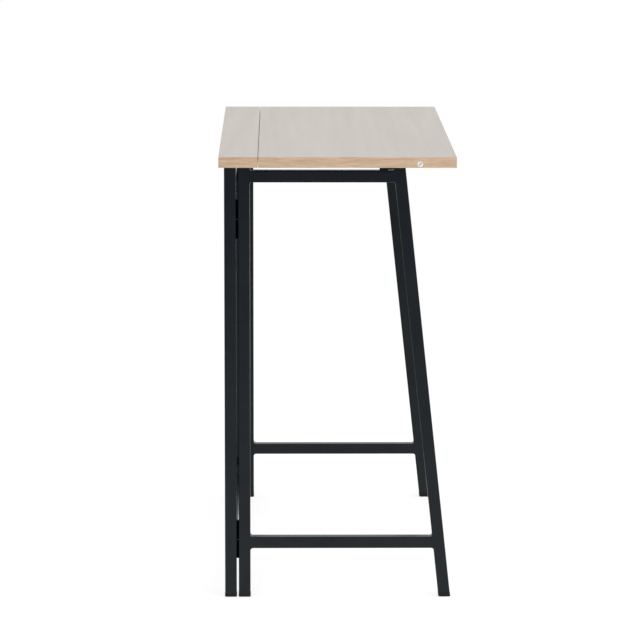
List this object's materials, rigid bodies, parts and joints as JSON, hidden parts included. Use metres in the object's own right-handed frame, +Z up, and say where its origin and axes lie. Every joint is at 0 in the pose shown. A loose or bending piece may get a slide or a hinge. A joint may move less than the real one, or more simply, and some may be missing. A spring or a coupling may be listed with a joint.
{
  "type": "folding desk",
  "caption": "Drop-leaf gate-leg desk: oak laminate top hinged to a narrow rear strip, on a black square-tube frame whose end gates swing in to fold it flat.",
  "frame": {"origin": "on the floor, under the middle of the top", "axes": "+Z up, +Y along the length of the top, +X to the front, where the leaf's free edge is"},
  "size_m": [0.4, 0.8, 0.76],
  "materials": {
    "oak_laminate": "pale grey-beige oak laminate, satin, faint grain along the length",
    "oak_edge_band": "tan oak edge band, satin, fine grain along the edge",
    "black_powder_coat": "black powder coat, semi-gloss, slightly textured",
    "black_hinge_steel": "black painted steel, satin",
    "black_plastic": "moulded black plastic, matt",
    "zinc_steel": "zinc-plated steel",
    "oiled_steel": "plain oiled steel",
    "nickel_plug": "bright nickel plate"
  },
  "bodies": {
    "rear_frame": {"near_rear_leg": "black_powder_coat", "far_rear_leg": "black_powder_coat", "rear_top_rail": "black_powder_coat", "rear_lower_rail": "black_powder_coat", "near_rear_foot": "black_plastic", "far_rear_foot": "black_plastic", "near_lower_leg_knuckle": "black_hinge_steel", "near_upper_leg_knuckle": "black_hinge_steel", "far_lower_leg_knuckle": "black_hinge_steel", "far_upper_leg_knuckle": "black_hinge_steel", "near_gate_hinge_pins": "zinc_steel", "far_gate_hinge_pins": "zinc_steel", "gate_hinge_washers": "oiled_steel", "fixed_strip": "oak_laminate", "strip_rear_band": "oak_edge_band", "strip_seam_band": "oak_edge_band", "strip_near_band": "oak_edge_band", "strip_far_band": "oak_edge_band", "strip_fixing_screws": "zinc_steel", "strip_hinge_screws": "zinc_steel", "near_leaf_hinge_fixed_plate": "zinc_steel", "middle_leaf_hinge_fixed_plate": "zinc_steel", "far_leaf_hinge_fixed_plate": "zinc_steel", "leaf_hinge_pins": "zinc_steel"},
    "leaf": {"leaf_board": "oak_laminate", "leaf_seam_band": "oak_edge_band", "leaf_front_band": "oak_edge_band", "leaf_near_band": "oak_edge_band", "leaf_far_band": "oak_edge_band", "near_leaf_hinge_moving_plate": "zinc_steel", "middle_leaf_hinge_moving_plate": "zinc_steel", "far_leaf_hinge_moving_plate": "zinc_steel", "leaf_hinge_screws": "zinc_steel", "near_leaf_dowel": "nickel_plug", "far_leaf_dowel": "nickel_plug", "near_gate_stop": "black_plastic", "far_gate_stop": "black_plastic", "gate_stop_screws": "zinc_steel"},
    "near_gate": {"near_gate_upright": "black_powder_coat", "near_gate_slanted_leg": "black_powder_coat", "near_gate_top_rail": "black_powder_coat", "near_gate_stretcher": "black_powder_coat", "near_lower_gate_knuckle": "black_hinge_steel", "near_upper_gate_knuckle": "black_hinge_steel", "near_upright_foot": "black_plastic", "near_slanted_leg_foot": "black_plastic", "near_upright_top_plug": "black_plastic", "near_slanted_leg_top_plug": "black_plastic"},
    "far_gate": {"far_gate_upright": "black_powder_coat", "far_gate_slanted_leg": "black_powder_coat", "far_gate_top_rail": "black_powder_coat", "far_gate_stretcher": "black_powder_coat", "far_lower_gate_knuckle": "black_hinge_steel", "far_upper_gate_knuckle": "black_hinge_steel", "far_upright_foot": "black_plastic", "far_slanted_leg_foot": "black_plastic", "far_upright_top_plug": "black_plastic", "far_slanted_leg_top_plug": "black_plastic"}
  },
  "joints": [
    {"name": "near_gate_swing", "type": "hinge", "parent": "rear_frame", "child": "near_gate", "pos_m": [-0.169, -0.3684, 0.0965], "axis": [0, 0, 1], "range_deg": [0, 90]},
    {"name": "far_gate_swing", "type": "hinge", "parent": "rear_frame", "child": "far_gate", "pos_m": [-0.169, 0.3684, 0.0965], "axis": [0, 0, -1], "range_deg": [0, 90]},
    {"name": "leaf_lift", "type": "hinge", "parent": "rear_frame", "child": "leaf", "pos_m": [-0.1337, 0, 0.73985], "axis": [0, -1, 0], "range_deg": [0, 1.8]}
  ]
}
